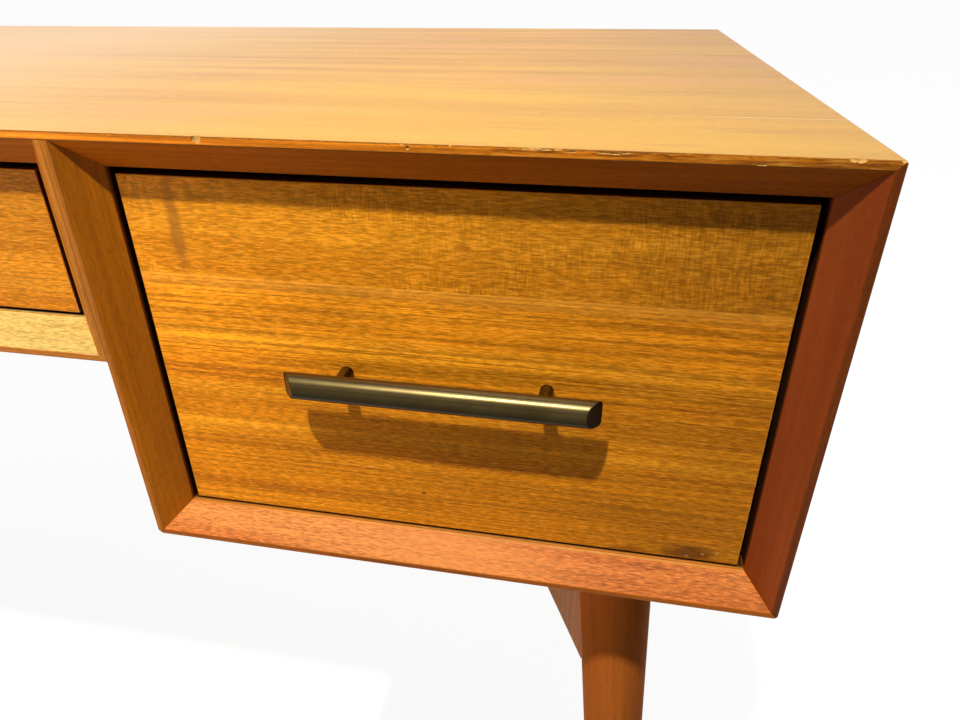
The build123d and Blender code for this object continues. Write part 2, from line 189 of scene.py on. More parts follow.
# Breaks along a front edge: place in metres, then in millimetres how far below the edge the middle lies
# and half the length, depth and height of the break
TOP_BREAKS = (
    (0.3990, 0.2, 2.1, 1.8, 2.7), (0.4838, 0.1, 0.8, 0.8, 0.7), (0.4861, 1.5, 0.9, 0.7, 0.8),
    (0.5026, 0.0, 0.7, 0.7, 0.6), (0.5300, 0.3, 2.0, 0.4, 0.6), (0.5338, 0.1, 2.6, 0.6, 0.8),
    (0.5382, 0.4, 2.2, 0.4, 0.5), (0.5425, 0.1, 1.6, 0.5, 0.6), (0.5472, 0.9, 2.4, 0.3, 0.4),
    (0.5590, 0.8, 2.6, 0.4, 0.5), (0.5632, 1.0, 2.2, 0.4, 0.6), (0.5668, 0.7, 1.8, 0.3, 0.4),
    (0.6132, 3.0, 2.2, 0.4, 0.5), (0.6425, 0.1, 1.5, 1.2, 1.1), (0.6450, 0.2, 1.9, 1.5, 1.3),
    (0.6586, 0.0, 1.2, 1.5, 0.9), (0.2180, 0.2, 1.4, 1.2, 1.6), (0.0350, 0.0, 3.4, 0.7, 0.6),
    (-0.1200, 0.1, 1.6, 1.1, 0.9), (-0.3960, 0.0, 3.6, 0.8, 0.7), (-0.6080, 0.2, 2.0, 1.4, 1.1),
)
RAIL_BREAKS = (
    (0.2890, 0.0, 2.6, 0.9, 0.8), (0.1180, 0.0, 1.8, 0.8, 0.7), (-0.2050, 0.0, 2.2, 0.9, 0.7),
)

# Small nicks anywhere along the same edges: how many, then in millimetres how far they stray from the edge,
# half their length, and half their depth and height. Raggedness is a part of a break's or a nick's size.
TOP_NICKS = 150
RAIL_NICKS = 40
NICK_WANDER = (-0.2, 0.2)
NICK_HALF_LENGTH = (0.7, 4.2)
NICK_HALF_DEPTH = (0.4, 0.8)
RAGGEDNESS = 0.3

# Marks on the drawer fronts: centre, half size, tint, strength, raggedness and seed
# A dark brown tint for the vertical streaks near the right drawer's left end
DARK_STREAK = (0.30, 0.105, 0.013)
KNOT = (0.05, 0.014, 0.003)
SCUFF = (0.10, 0.030, 0.002)
BARE_SPOT = (0.66, 0.38, 0.14)
FLECK = (0.22, 0.055, 0.002)
RIGHT_MARKS = (
    ((0.3712, 0.7190), (0.0040, 0.0270), DARK_STREAK, 0.62, 0.3, 1.0),
    ((0.3560, 0.7330), (0.0016, 0.0120), DARK_STREAK, 0.30, 0.4, 2.0),
    ((0.3605, 0.7310), (0.0016, 0.0140), DARK_STREAK, 0.24, 0.4, 3.0),
    ((0.3810, 0.7320), (0.0022, 0.0120), DARK_STREAK, 0.22, 0.4, 4.0),
    ((0.3925, 0.7330), (0.0020, 0.0110), DARK_STREAK, 0.16, 0.4, 4.5),
    ((0.4802, 0.5816), (0.0016, 0.0007), KNOT, 0.95, 0.3, 5.0),
    ((0.6170, 0.5635), (0.0150, 0.0055), SCUFF, 0.8, 1.3, 6.0),
    ((0.5860, 0.5605), (0.0100, 0.0035), SCUFF, 0.5, 1.4, 7.0),
    ((0.6225, 0.5640), (0.0010, 0.0007), BARE_SPOT, 0.6, 0.5, 7.3),
    ((0.6150, 0.5618), (0.0012, 0.0006), BARE_SPOT, 0.5, 0.5, 7.6),
    ((0.6290, 0.5655), (0.0007, 0.0011), BARE_SPOT, 0.5, 0.5, 7.9),
    ((0.5030, 0.7160), (0.0050, 0.0018), FLECK, 0.35, 0.9, 8.0),
    ((0.4300, 0.7190), (0.0040, 0.0012), FLECK, 0.35, 0.9, 9.0),
)
LEFT_MARKS = (
    ((-0.5410, 0.6120), (0.0014, 0.0007), KNOT, 0.9, 0.3, 15.0),
    ((-0.4200, 0.5640), (0.0110, 0.0040), SCUFF, 0.4, 1.4, 16.0),
)
CENTRE_MARKS = (
    ((-0.1130, 0.6890), (0.0014, 0.0006), KNOT, 0.9, 0.3, 25.0),
)

# Limits used in working. Degrees of turn: what still shades smoothly, what gets an arris on a pull, and what
# counts as flat. Parts of a direction: what faces squarely along an axis, what faces up enough to belong
# to the top's face, and what is a slight turn between neighbours. Metres: what lies in a plane, and what
# is one place.
SMOOTH_TURN = 32
ARRIS_TURN = 40
FLAT_TURN = 0.2
SQUARE_ON = 0.9
FACING_UP = 0.7
SLIGHT_TURN = 0.5
IN_PLANE = 5e-6
ONE_PLACE = 1e-6


# Finishes


class Wiring:
    """Nodes of a material or of the room's light.

    A method gives back the socket that carries its result, apart from add, which gives back the node.
    """

    def __init__(self, tree):
        self.tree = tree

    def add(self, kind, inputs=None, **settings):
        """One node. A socket given as an input is linked, and anything else is set."""
        node = self.tree.nodes.new(kind)
        for key, value in settings.items():
            setattr(node, key, value)
        for key, value in (inputs or {}).items():
            self.feed(node.inputs[key], value)
        return node

    def feed(self, socket, value):
        """Link a socket into another, or set it to a plain value."""
        if isinstance(value, bpy.types.NodeSocket):
            self.tree.links.new(value, socket)
        else:
            socket.default_value = value

    def math(self, operation, first, second=0.0):
        """Two values put together by one of Blender's operations."""
        node = self.add("ShaderNodeMath", {0: first, 1: second}, operation=operation)
        return node.outputs["Value"]

    def times(self, first, second):
        """Two values multiplied."""
        return self.math("MULTIPLY", first, second)

    def span(self, value, low, high, start=0.0, end=1.0, smooth=True):
        """Value taken from the range low to high to the range start to end, held at both ends."""
        node = self.add(
            "ShaderNodeMapRange",
            {"Value": value, "From Min": low, "From Max": high, "To Min": start, "To Max": end},
            interpolation_type="SMOOTHSTEP" if smooth else "LINEAR",
        )
        return node.outputs["Result"]

    def part(self, vector, letter):
        """The X, Y or Z of a vector."""
        return self.add("ShaderNodeSeparateXYZ", {"Vector": vector}).outputs[letter]

    def seen_by_camera(self):
        """1 for rays that come from the camera, straight or by way of gloss or glass, and 0 for others."""
        path = self.add("ShaderNodeLightPath").outputs
        seen = path["Is Camera Ray"]
        for other in ("Is Glossy Ray", "Is Transmission Ray"):
            seen = self.math("MAXIMUM", seen, path[other])
        return seen


class Finish(Wiring):
    """A node material being made, its patterns placed on the piece in metres."""

    def __init__(self, name, roughness, specular, metallic=0.0):
        self.material = bpy.data.materials.new(name)
        self.material.use_nodes = True
        super().__init__(self.material.node_tree)
        self.roughness = roughness
        self.shader = self.tree.nodes["Principled BSDF"]
        self.shader.inputs["Roughness"].default_value = roughness
        self.shader.inputs["Specular IOR Level"].default_value = specular
        self.shader.inputs["Metallic"].default_value = metallic
        self.place = self.add("ShaderNodeTexCoord").outputs["Object"]

    def turn(self, degrees):
        """Turn the pattern about Y, for a piece that leans."""
        turn = (0, radians(degrees), 0)
        mapping = self.add("ShaderNodeMapping", {"Vector": self.place, "Rotation": turn})
        self.place = mapping.outputs["Vector"]

    def noise(self, scale, seed=0.0, detail=2.0, rough=0.5, warp=0.0):
        """Noise at a scale given for each axis, in repeats to the metre."""
        mapping = self.add("ShaderNodeMapping", {"Vector": self.place, "Scale": scale})
        settings = {
            "Vector": mapping.outputs["Vector"],
            "W": seed,
            "Scale": 1.0,
            "Detail": detail,
            "Roughness": rough,
            "Distortion": warp,
        }
        return self.add("ShaderNodeTexNoise", settings, noise_dimensions="4D").outputs["Fac"]

    def axis(self, letter):
        """One coordinate of the place on the piece, in metres."""
        return self.part(self.place, letter)

    def facing(self, letter, rounded=False):
        """One part of the direction that the surface faces, followed smoothly on a rounded one."""
        normal = self.add("ShaderNodeNewGeometry").outputs["Normal" if rounded else "True Normal"]
        return self.part(normal, letter)

    def turned_to(self, letter, sign):
        """1 on faces that look along an axis, or back along it where the sign is -1, and 0 elsewhere."""
        return self.math("GREATER_THAN", self.times(self.facing(letter), sign), SQUARE_ON)

    def ramp(self, value, stops):
        """Colours along a value: stops are (position, colour)."""
        node = self.add("ShaderNodeValToRGB", {"Fac": value})
        ramp = node.color_ramp
        ramp.interpolation = "EASE"
        while len(ramp.elements) < len(stops):
            ramp.elements.new(0.5)
        for element, (position, colour) in zip(ramp.elements, stops):
            element.position = position
            element.color = (*colour, 1)
        return node.outputs["Color"]

    def mix(self, amount, first, second, blend="MIX"):
        """Two colours mixed. A plain colour has three numbers."""
        node = self.add("ShaderNodeMix", data_type="RGBA", blend_type=blend)
        self.feed(node.inputs[0], amount)
        for socket, value in ((node.inputs[6], first), (node.inputs[7], second)):
            self.feed(socket, (*value, 1) if isinstance(value, tuple) else value)
        return node.outputs[2]

    def shade(self, colour, value, low, high, dark, light):
        """The colour made darker where the value is low and lighter where it is high."""
        return self.mix(1.0, colour, self.span(value, low, high, dark, light, smooth=False), "MULTIPLY")

    def stain(self, colour, centre, half, tint, strength, ragged, seed):
        """A mark on a front: an ellipse in X and Z with a ragged edge."""
        parts = []
        for letter, middle, reach in zip("XZ", centre, half):
            offset = self.math("SUBTRACT", self.axis(letter), middle)
            parts.append(self.math("POWER", self.math("DIVIDE", offset, reach), 2.0))
        distance = self.math("SQRT", self.math("ADD", *parts))
        torn = self.noise(tuple(1.1 / reach for reach in (half[0], half[0], half[1])), seed, 3, 0.6)
        distance = self.math("ADD", distance, self.times(torn, ragged))
        mask = self.span(distance, 0.35 + 0.5 * ragged, 1.25 + 0.5 * ragged, strength, 0.0)
        return self.mix(mask, colour, tint)

    def relief(self, height, depth):
        """A bump of the given depth in metres, on the shader."""
        bump = self.add("ShaderNodeBump", {"Height": height, "Distance": depth, "Strength": 1.0})
        self.feed(self.shader.inputs["Normal"], bump.outputs["Normal"])

    def done(self, colour, roughness):
        """Join the colour and the roughness to the shader."""
        self.feed(self.shader.inputs["Base Color"], colour)
        self.feed(self.shader.inputs["Roughness"], roughness)
        return self.material


def along(grain, lengthwise, crosswise):
    """Scale of a pattern that runs along the grain axis X, Y or Z."""
    return tuple(lengthwise if letter == grain else crosswise for letter in "XYZ")


def grained(finish, grain, tones, seed, streaks=1.0, pores=1.0, mottle=0.4):
    """Colour of long-grained wood, with its open pores and the lines that its relief follows."""
    dark, middle, light = tones
    bands = finish.noise(along(grain, 2.0, 30), seed, 3, 0.55, 0.4)
    colour = finish.ramp(bands, [(0.33, dark), (0.5, middle), (0.66, light)])
    lines = finish.noise(along(grain, 11, 380), seed + 3, 4, 0.65)
    colour = finish.shade(colour, lines, 0.32, 0.68, 1 - 0.24 * streaks, 1 + 0.16 * streaks)
    strokes = finish.noise(along(grain, 220, 1450), seed + 7, 2, 0.55)
    colour = finish.shade(colour, strokes, 0.36, 0.64, 1 - 0.26 * mottle, 1 + 0.16 * mottle)
    colour = finish.mix(finish.span(strokes, 0.54, 0.68, 0.0, 0.4 * mottle), colour, light)
    open_pores = finish.span(strokes, 0.42, 0.30)
    dark_pore = tuple(0.45 * part for part in dark)
    colour = finish.mix(finish.times(open_pores, 0.5 * pores), colour, dark_pore)
    return colour, open_pores, lines


def polished(finish, colour, open_pores, lines):
    """Satin lacquer over the grain: pores lie a little deep and dull."""
    finish.relief(finish.math("SUBTRACT", finish.times(lines, 0.4), open_pores), 0.05 * MM)
    return finish.done(colour, finish.span(open_pores, 0, 1, finish.roughness, finish.roughness + 0.14))


def wood(
    name, grain, tones, seed, roughness=0.42, specular=0.1, turn=0.0,
    front=None, lip=None, inside=None, outside=None, painted_sheen_at=None, **amounts
):
    """Satin finished timber with its grain along one axis.

    Front is the tones of its flat front edge, lip the height above which it turns golden, inside the
    face turned to a drawer, painted dark there as shade behind the drawer fronts, outside the face turned
    out of the desk, with its tones, and the last the place along X round which a painted sheen pales it.
    """
    finish = Finish(name, roughness, specular)
    if turn:
        finish.turn(turn)
    colour, open_pores, lines = grained(finish, grain, tones, seed, **amounts)
    blotches = finish.noise((7, 7, 7), seed + 11, 2, 0.5)
    colour = finish.shade(colour, blotches, 0.3, 0.7, 0.90, 1.08)
    # Painted sheen: paler round the given place along X
    if painted_sheen_at:
        away = finish.math("ABSOLUTE", finish.math("SUBTRACT", finish.axis("X"), painted_sheen_at))
        pale = tuple(1.25 * part for part in tones[2])
        colour = finish.mix(finish.span(away, SHEEN_REACH, 0.0, 0.0, SHEEN_STRENGTH), colour, pale)
    if lip:
        golden = grained(finish, grain, BOTTOM_LIP_TONES, seed + 13, 1.6, 0.3)[0]
        wander = finish.times(finish.noise(along(grain, 60, 60), seed + 15, 3, 0.6), 1.8 * MM)
        height = finish.math("ADD", finish.axis("Z"), wander)
        colour = finish.mix(finish.span(height, lip, lip + 0.5 * MM), colour, golden)
    if front:
        edge = grained(finish, grain, front, seed + 17, 1.7, 0.4)[0]
        colour = finish.mix(finish.turned_to("Y", -1), colour, edge)
    if outside:
        letter, sign, outer_tones = outside
        outer = grained(finish, grain, outer_tones, seed + 19, **amounts)[0]
        colour = finish.mix(finish.turned_to(letter, sign), colour, outer)
    # Painted shade on the face turned to a drawer, behind the drawer front
    if inside:
        colour = painted_shade_inside(finish, colour, *inside)
    return polished(finish, colour, open_pores, lines)


def painted_shade_inside(finish, colour, letter, sign):
    """Painted shade: the inside of the case behind the drawer fronts, painted dark."""
    depth = finish.span(finish.axis("Y"), Y_DRAWER - 0.6 * MM, Y_DRAWER + 2.0 * MM)
    return finish.mix(finish.times(finish.turned_to(letter, sign), depth), colour, UNLIT)


def rubbed_and_highlit(name, grain, tones, seed, wear_and_highlight):
    """The same wood on a rounded edge, pale in broken lines: partly the finish worn away, partly a painted
    highlight along the arris.
    """
    finish = Finish(name, 0.5, 0.1)
    colour, open_pores, lines = grained(finish, grain, tones, seed, pores=0.6)
    thin = finish.noise(along(grain, 45, 260), seed + 20, 4, 0.65)
    low = 0.62 - 0.24 * wear_and_highlight
    # Pale broken lines: partly the finish worn away, partly a painted highlight
    colour = finish.mix(finish.span(thin, low, low + 0.16, 0.0, 0.85), colour, PALE_WEAR_AND_HIGHLIGHT)
    colour = finish.mix(finish.span(thin, low + 0.16, low + 0.26, 0.0, 0.9), colour, RAW_WOOD)
    return polished(finish, colour, open_pores, lines)


def top_face(finish, across):
    """The top's upper veneer: clouded pink and gold, with a painted sheen to the left and towards the back,
    and painted shade towards the right end.
    """
    colour, open_pores, lines = grained(finish, "X", TOP_TONES, 2.0, streaks=0.75, pores=0.3, mottle=0.35)
    drift = finish.noise(along("X", 3, 55), 15.0, 3, 0.55, 0.3)
    colour = finish.shade(colour, drift, 0.34, 0.66, 0.84, 1.10)
    clouds = finish.noise((4, 12, 12), 5.0, 3, 0.5)
    colour = finish.mix(finish.span(clouds, 0.48, 0.34, 0.0, 0.55), colour, TOP_PINK)
    near_front = finish.span(finish.axis("Y"), 0.02, -0.24)
    golden = finish.times(finish.times(near_front, finish.span(across, 0.30, 0.45)), 0.45)
    golden = finish.math("ADD", golden, finish.span(clouds, 0.52, 0.68, 0.0, 0.4))
    colour = finish.mix(golden, colour, TOP_GOLD)
    dashes = finish.noise(along("X", 14, 130), 12.0, 3, 0.6)
    colour = finish.mix(finish.span(dashes, 0.56, 0.70, 0.0, 0.42), colour, TOP_DASH)
    # Painted sheen paler to the left and lighter towards the back, and painted shade darker towards the
    # right end
    colour = finish.mix(finish.span(across, 0.46, -0.05, 0.0, 0.72), colour, TOP_PAINTED_SHEEN)
    colour = finish.shade(colour, across, 0.47, 0.66, 1.0, 0.76)
    colour = finish.shade(colour, finish.axis("Y"), -0.05, 0.30, 1.0, 1.1)
    seam = finish.math("ABSOLUTE", finish.math("SUBTRACT", finish.axis("Y"), TOP_SEAM_Y))
    seam = finish.span(seam, 0.3 * MM, 0.9 * MM, 0.6, 0.0)
    seam = finish.times(seam, finish.span(across, 0.55, 0.62))
    return finish.mix(seam, colour, TOP_SEAM), open_pores, lines


def top_front_edge(finish, across):
    """The top's flat front edge: thin strata, painted lighter at the left end and darker at the right,
    frayed dark towards the right end, with a painted golden highlight on the splinters.
    """
    edge = grained(finish, "X", EDGE_TONES, 6.0, streaks=1.8, pores=0.4)[0]
    strata = finish.noise(along("X", 4, 760), 18.0, 2, 0.6, 0.2)
    edge = finish.shade(edge, strata, 0.36, 0.64, 0.72, 1.2)
    # Painted light: lighter at the left end and darker at the right
    edge = finish.shade(edge, across, 0.33, 0.65, 1.4, 0.6)
    frayed = finish.noise(along("X", 70, 800), 21.0, 4, 0.65)
    worn = finish.span(across, 0.47, 0.54)
    torn = finish.times(finish.span(frayed, 0.51, 0.58, 0.0, 0.8), worn)
    edge = finish.mix(torn, edge, FRAYED_DARK)
    # Painted highlight: golden where light catches the frayed splinters
    bright = finish.times(finish.span(frayed, 0.46, 0.38, 0.0, 0.5), worn)
    return finish.mix(bright, edge, FRAYED_GOLD_AND_HIGHLIGHT)


def top_board_finish():
    """Pale golden veneer above, a streaked golden front edge, deeper and redder below."""
    finish = Finish("top_veneer", 0.36, 0.11)
    across = finish.axis("X")
    above, open_pores, lines = top_face(finish, across)
    edge = top_front_edge(finish, across)
    under = grained(finish, "X", UNDER_TONES, 8.0, pores=0.4)[0]
    # Painted shade: darker towards the right end, and over the centre drawer
    under = finish.shade(under, across, 0.35, 0.65, 0.84, 0.64)
    under = finish.shade(under, across, 0.29, 0.36, 0.82, 1.0)
    under = painted_shade_inside(finish, under, "Z", -1)
    side = finish.mix(finish.turned_to("Y", -1), under, edge)
    colour = finish.mix(finish.math("GREATER_THAN", finish.facing("Z"), FACING_UP), side, above)
    return polished(finish, colour, open_pores, lines)


def leaf_figure(finish, leaf_seed, striped, lower):
    """Bands, long lines, dark threads and short strokes. The lines are strongest in the striped leaf."""
    dark, middle, light = FRONT_TONES
    bands = finish.noise(along("X", 1.4, 42), leaf_seed, 4, 0.55, 0.5)
    colour = finish.ramp(bands, [(0.30, dark), (0.46, middle), (0.66, light)])
    colour = finish.shade(colour, lower, 0.0, 1.0, 1.06, 1.12)
    colour = finish.shade(colour, striped, 0.0, 1.0, 1.0, 1.16)
    lines = finish.noise(along("X", 6, 600), leaf_seed, 1.5, 0.5, 0.2)
    force = finish.math("ADD", finish.times(striped, 0.5), finish.times(lower, 0.6))
    force = finish.math("ADD", force, 0.2)
    swing = finish.times(finish.math("SUBTRACT", lines, 0.5), force)
    colour = finish.shade(colour, swing, -0.2, 0.2, 0.68, 1.26)
    threads = finish.noise(along("X", 5, 950), leaf_seed, 1, 0.5, 0.2)
    threads = finish.times(finish.span(threads, 0.58, 0.68, 0.0, 0.5), lower)
    colour = finish.mix(threads, colour, DARK_THREAD)
    strokes = finish.noise(along("X", 200, 1450), leaf_seed, 2, 0.6, 0.3)
    colour = finish.shade(colour, strokes, 0.37, 0.63, 0.64, 1.18)
    colour = finish.mix(finish.span(strokes, 0.54, 0.70, 0.0, 0.38), colour, CREAM)
    return colour, finish.span(strokes, 0.40, 0.28), lines


def veneer(name, seams, seed, ends, painted_light_ends, marks):
    """Golden veneer laid in leaves across a drawer front, each leaf with its own figure.

    Ends are the X of its left and right end, and the pair after them the painted light at each end.
    """
    finish = Finish(name, 0.4, 0.09)
    height = finish.axis("Z")
    leaf = finish.math("GREATER_THAN", height, seams[0])
    for seam in seams[1:]:
        leaf = finish.math("ADD", leaf, finish.math("GREATER_THAN", height, seam))
    leaf_seed = finish.math("ADD", finish.times(leaf, 13.7), seed)
    upper = finish.math("GREATER_THAN", height, seams[-1])
    lower = finish.math("SUBTRACT", 1.0, upper)
    striped = finish.math("SUBTRACT", finish.math("GREATER_THAN", leaf, 0.5), upper)
    colour, open_pores, lines = leaf_figure(finish, leaf_seed, striped, lower)

    # Curl across the grain, in patches of the upper leaf
    ripple = finish.noise((900, 60, 150), seed + 31, 2, 0.6, 0.2)
    patches = finish.span(finish.noise((11, 11, 26), seed + 33), 0.42, 0.6)
    curly = finish.times(finish.times(upper, patches), 0.9)
    colour = finish.mix(curly, colour, finish.shade(colour, ripple, 0.36, 0.64, 0.74, 1.24))

    # Pale wood and a fine line just below the upper leaf
    below = finish.math("SUBTRACT", seams[-1], height)
    seam_light = finish.span(below, 9 * MM, 1 * MM, 0.0, 0.26)
    seam_line = finish.span(below, 0.9 * MM, 0.4 * MM, 0.0, 0.16)
    seam_light = finish.times(finish.math("ADD", seam_light, seam_line), striped)
    colour = finish.mix(seam_light, colour, CREAM)

    # Age: blotches and marks. Painted light, darker towards the right end, and painted shade on the sides
    blotches = finish.noise((16, 16, 40), seed + 35, 3, 0.55)
    colour = finish.shade(colour, blotches, 0.3, 0.7, 0.86, 1.1)
    colour = finish.shade(colour, finish.axis("X"), *ends, *painted_light_ends)
    # Painted shade: the upper leaf darker still towards its right end
    painted_shade_right = finish.times(upper, finish.span(finish.axis("X"), (ends[0] + ends[1]) / 2, ends[1]))
    colour = finish.shade(colour, painted_shade_right, 0.0, 1.0, 1.0, min(1.0, painted_light_ends[1] + 0.1))
    for mark in marks:
        colour = finish.stain(colour, *mark)
    # Painted shade on every face of the board but its front
    colour = finish.mix(finish.span(finish.facing("Y"), -0.75, -0.45), colour, FRONT_SIDES_PAINTED_SHADE)
    return polished(finish, colour, open_pores, lines)


def raw_chip():
    """Bare wood where a splinter has broken out of an edge."""
    finish = Finish("raw_chip", 0.75, 0.1)
    fibres = finish.noise(along("X", 300, 2600), 3.0, 3, 0.6)
    colour = finish.ramp(fibres, list(zip((0.3, 0.55, 0.75), CHIP_TONES)))
    finish.relief(fibres, 0.12 * MM)
    return finish.done(colour, finish.span(fibres, 0.3, 0.7, 0.7, 0.85))


def shaded_nick():
    """Dark to golden brown wood in small nicks, painted dark as the shade inside them."""
    finish = Finish("shaded_nick", 0.7, 0.03)
    fibres = finish.noise(along("X", 200, 2200), 9.0, 3, 0.6)
    colour = finish.ramp(fibres, list(zip((0.3, 0.55, 0.75), NICK_SHADE_TONES)))
    finish.relief(fibres, 0.08 * MM)
    return finish.done(colour, finish.span(fibres, 0.3, 0.7, 0.5, 0.7))


def bronze():
    """Dark antique bronze, brushed along the bar, with a painted reflection: lighter on its upper face and
    darkest underneath and on its raked ends.
    """
    finish = Finish("dark_bronze", 0.3, 0.5, 1.0)
    brushing = finish.noise(along("X", 5, 1500), 1.0, 3, 0.6)
    cloud = finish.noise((60, 60, 60), 4.0, 2, 0.5)
    colour = finish.ramp(cloud, list(zip((0.35, 0.65), BRONZE_TONES)))
    colour = finish.shade(colour, brushing, 0.3, 0.7, 0.72, 1.28)
    painted_reflection_up = finish.facing("Z", rounded=True)
    # Painted reflection: darker as the face turns down, and lighter on the upper face
    colour = finish.shade(colour, painted_reflection_up, -0.2, 0.7, 0.16, 0.9)
    colour = finish.mix(finish.span(painted_reflection_up, 0.8, 0.98), colour, BRONZE_PAINTED_REFLECTION)
    # Painted shade on the raked ends
    painted_shade_endwise = finish.math("ABSOLUTE", finish.facing("X", rounded=True))
    colour = finish.shade(colour, painted_shade_endwise, 0.45, 0.7, 1.0, 0.4)
    finish.relief(brushing, 0.01 * MM)
    return finish.done(colour, finish.span(brushing, 0.3, 0.7, 0.24, 0.34))


def zinc():
    """Zinc plated sheet steel, with the faint clouding of its plating."""
    finish = Finish("zinc_steel", 0.3, 0.5, 1.0)
    cloud = finish.noise((45, 45, 45), 2.0, 3, 0.6)
    scratches = finish.noise(along("Y", 18, 2600), 5.0, 2, 0.5)
    colour = finish.ramp(cloud, list(zip((0.3, 0.7), ZINC_TONES)))
    colour = finish.shade(colour, scratches, 0.35, 0.65, 0.9, 1.06)
    finish.relief(scratches, 0.008 * MM)
    return finish.done(colour, finish.span(cloud, 0.3, 0.7, 0.26, 0.42))


def nylon():
    """Dark moulded nylon, dulled by the floor."""
    finish = Finish("nylon", 0.55, 0.4)
    grit = finish.noise((900, 900, 900), 1.0, 2, 0.6)
    scuff = finish.noise((60, 60, 60), 6.0, 2, 0.5)
    colour = finish.ramp(scuff, list(zip((0.3, 0.7), NYLON_TONES)))
    finish.relief(grit, 0.02 * MM)
    return finish.done(colour, finish.span(scuff, 0.3, 0.7, 0.48, 0.68))


# Shaping


def block(name, low, high):
    """A plain block between two corners, left open for editing."""
    bpy.ops.mesh.primitive_cube_add(size=1)
    piece = bpy.context.object
    piece.name = name
    bpy.ops.object.mode_set(mode="EDIT")
    bpy.ops.transform.resize(value=[b - a for a, b in zip(low, high)])
    bpy.ops.transform.translate(value=[(a + b) / 2 for a, b in zip(low, high)])
    return piece


def saw(cut):
    """Cut away what lies beyond a plane, given by a point and a direction, and close the cut."""
    point, outward = cut
    bpy.ops.mesh.select_all(action="SELECT")
    bpy.ops.mesh.bisect(
        plane_co=point, plane_no=outward, use_fill=True, clear_outer=True, threshold=ONE_PLACE
    )


def ease(piece, joints, round_width):
    """Round every edge: hardly in a joint, a little at a slight turn, and fully at open corners."""
    mesh = piece.data
    weights = mesh.attributes.new("bevel_weight_edge", "FLOAT", "EDGE")
    meeting = {}
    for face in mesh.polygons:
        for key in face.edge_keys:
            meeting.setdefault(key, []).append(face.normal)
    for edge in mesh.edges:
        ends = [mesh.vertices[index].co for index in edge.vertices]
        jointed = any(
            all(abs((end - Vector(point)).dot(Vector(outward).normalized())) < IN_PLANE for end in ends)
            for point, outward in joints
        )
        first, second = meeting[edge.key]
        width = round_width
        if jointed:
            width = JOINT_EASE
        elif first.dot(second) > SLIGHT_TURN:
            width = SLIGHT_EASE
        weights.data[edge.index].value = width / round_width
    rounding = piece.modifiers.new("rounding", "BEVEL")
    rounding.width = round_width
    rounding.segments = 3
    rounding.limit_method = "WEIGHT"
    rounding.material = 1
    bpy.ops.object.modifier_apply(modifier="rounding")


def even_shading(piece):
    """Smooth the roundings, and keep the broad faces shaded flat."""
    bpy.context.view_layer.objects.active = piece
    piece.select_set(True)
    bpy.ops.object.shade_smooth_by_angle(angle=radians(SMOOTH_TURN))
    piece.modifiers.new("even", "WEIGHTED_NORMAL").keep_sharp = True
    bpy.ops.object.modifier_apply(modifier="even")
    piece.select_set(False)


def subtract(piece, cutter, finish="TRANSFER"):
    """Cut one piece out of another. The cut takes the cutter's finish, or with INDEX the piece's own."""
    cut = piece.modifiers.new("cut", "BOOLEAN")
    cut.operation = "DIFFERENCE"
    cut.solver = "EXACT"
    cut.use_self = True
    cut.object = cutter
    cut.material_mode = finish
    bpy.context.view_layer.objects.active = piece
    bpy.ops.object.modifier_apply(modifier="cut")


def chip_edge(piece, breaks, finishes, half_length, z_edge, nicks, seed):
    """Break splinters out of a front edge: pale named breaks, and a row of small nicks, painted brown as
    shade.
    """
    bpy.ops.object.select_all(action="DESELECT")
    nibble = Random(seed)
    small = [
        (
            nibble.uniform(-half_length, half_length),
            nibble.uniform(*NICK_WANDER),
            nibble.uniform(*NICK_HALF_LENGTH),
            nibble.uniform(*NICK_HALF_DEPTH),
            nibble.uniform(*NICK_HALF_DEPTH),
        )
        for _ in range(nicks)
    ]
    lumps = []
    for number, (x, below, *half_size) in enumerate((*breaks, *small)):
        named = number < len(breaks)
        bpy.ops.mesh.primitive_ico_sphere_add(subdivisions=2 if named else 1, radius=1)
        lump = bpy.context.object
        bpy.ops.object.mode_set(mode="EDIT")
        bpy.ops.mesh.select_all(action="SELECT")
        bpy.ops.transform.vertex_random(offset=RAGGEDNESS, seed=number)
        bpy.ops.transform.resize(value=[size * MM for size in half_size], center_override=(0, 0, 0))
        bpy.ops.transform.translate(value=(x, Y_FRONT, z_edge - below * MM))
        bpy.ops.object.mode_set(mode="OBJECT")
        lump.data.materials.append(finishes[0] if named else finishes[1])
        lumps.append(lump)
    for lump in lumps:
        lump.select_set(True)
    bpy.ops.object.join()
    cutter = bpy.context.object
    subtract(piece, cutter)
    bpy.data.objects.remove(cutter)
    even_shading(piece)


# Case


def case_board(name, low, high, cuts, joints, finishes, cope=None, glued=(), round_width=BOARD_ROUND):
    """A board with its mitres, front bevel and knocked corners, eased, in place of the CAD one.

    Cuts and joints are sawn, cope is the piece that it is cut to fit, and glued names faces that lie
    against another board. Finishes are those of its faces and of its rounded edges.
    """
    piece = block(f"{name}_board", low, high)
    for cut in (*joints, *cuts):
        saw(cut)
    bpy.ops.object.mode_set(mode="OBJECT")
    hidden = (*joints, *glued)
    for finish in finishes:
        piece.data.materials.append(finish)
    if cope:
        subtract(piece, cope, "INDEX")
        bpy.ops.object.mode_set(mode="EDIT")
        bpy.ops.mesh.select_all(action="SELECT")
        bpy.ops.mesh.remove_doubles(threshold=ONE_PLACE)
        bpy.ops.mesh.dissolve_limited(angle_limit=radians(FLAT_TURN))
        bpy.ops.object.mode_set(mode="OBJECT")
        hidden = (*hidden, SOFFIT, TOP_BEVEL)
    ease(piece, hidden, round_width)
    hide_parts(name)
    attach(piece, "case")
    even_shading(piece)
    return piece


